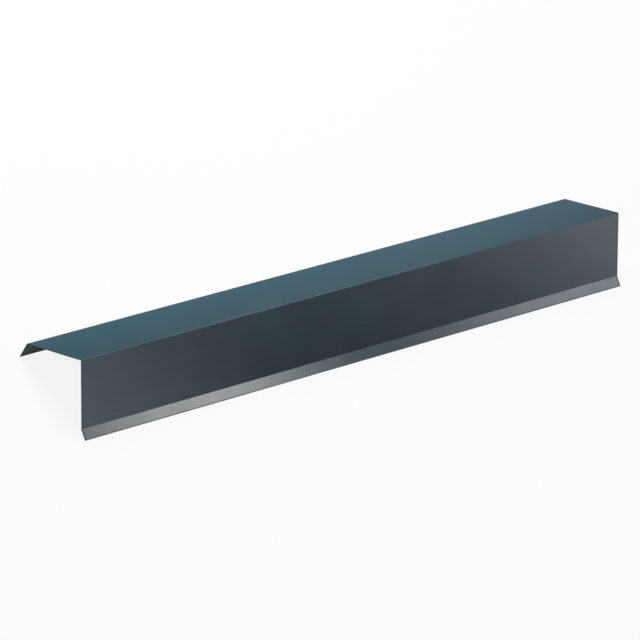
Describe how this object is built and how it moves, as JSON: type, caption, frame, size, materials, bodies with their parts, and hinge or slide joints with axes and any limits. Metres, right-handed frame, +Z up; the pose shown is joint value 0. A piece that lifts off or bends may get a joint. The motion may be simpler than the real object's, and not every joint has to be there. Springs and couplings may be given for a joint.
{
  "type": "verge flashing",
  "caption": "Folded strip of coated steel sheet for a roof's sloping edge: a right angle with a splayed lip at the back and a drip kicked out at the foot.",
  "frame": {"origin": "on the floor, under the middle of the part's box as it lies", "axes": "+X along the length; +Y from the drip's side to the lip's side; +Z up, with the part lying like a tent on its two long cut edges"},
  "size_m": [2, 0.2934, 0.1627],
  "materials": {
    "verge_flashing": "satin"
  },
  "bodies": {
    "root": {"verge_flashing": "verge_flashing"}
  },
  "joints": []
}
